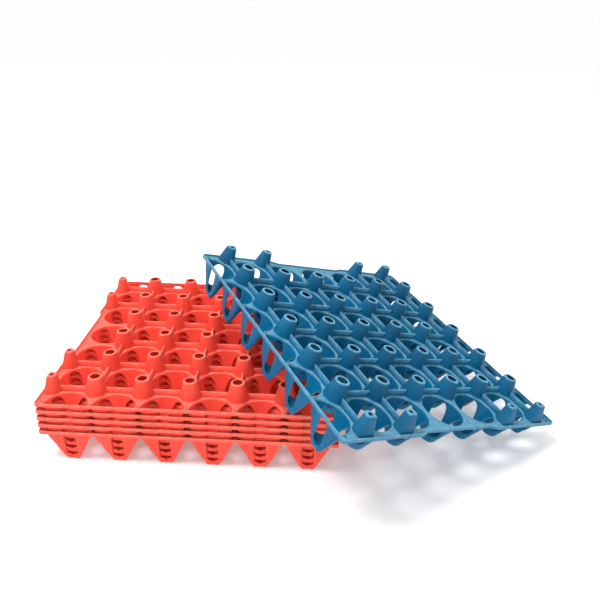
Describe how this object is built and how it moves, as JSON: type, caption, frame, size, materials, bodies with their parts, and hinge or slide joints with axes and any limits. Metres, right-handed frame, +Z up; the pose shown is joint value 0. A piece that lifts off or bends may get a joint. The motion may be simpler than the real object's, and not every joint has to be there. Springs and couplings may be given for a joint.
{
  "type": "egg tray set",
  "caption": "Stack of nested moulded plastic egg trays with pierced conical cups and hollow posts, and a loose tray of the same moulding leaning on it.",
  "frame": {"origin": "middle of the whole set's bounding box, on the surface the stack stands on", "axes": "+Z up; +X along the set's length, from the stack towards the leaning tray's low corner; +Y towards the back of the stack"},
  "size_m": [0.5282, 0.411, 0.1813],
  "materials": {
    "red_plastic": "semi-gloss moulded, finely textured pads",
    "blue_plastic": "semi-gloss moulded, finely textured pads"
  },
  "bodies": {
    "red_tray_1": {"red_tray_1": "red_plastic"},
    "red_tray_2": {"red_tray_2": "red_plastic"},
    "red_tray_3": {"red_tray_3": "red_plastic"},
    "red_tray_4": {"red_tray_4": "red_plastic"},
    "red_tray_5": {"red_tray_5": "red_plastic"},
    "blue_tray": {"blue_tray": "blue_plastic"}
  },
  "joints": [
    {"name": "lift_red_2", "type": "slide", "parent": "red_tray_1", "child": "red_tray_2", "axis": [0, 0, 1], "range_m": [0, 0.06]},
    {"name": "lift_red_3", "type": "slide", "parent": "red_tray_2", "child": "red_tray_3", "axis": [0, 0, 1], "range_m": [0, 0.06]},
    {"name": "lift_red_4", "type": "slide", "parent": "red_tray_3", "child": "red_tray_4", "axis": [0, 0, 1], "range_m": [0, 0.06]},
    {"name": "lift_red_5", "type": "slide", "parent": "red_tray_4", "child": "red_tray_5", "axis": [0, 0, 1], "range_m": [0, 0.06]},
    {"name": "lift_blue", "type": "slide", "parent": "red_tray_5", "child": "blue_tray", "axis": [0, 0, 1], "range_m": [0, 0.1]}
  ]
}
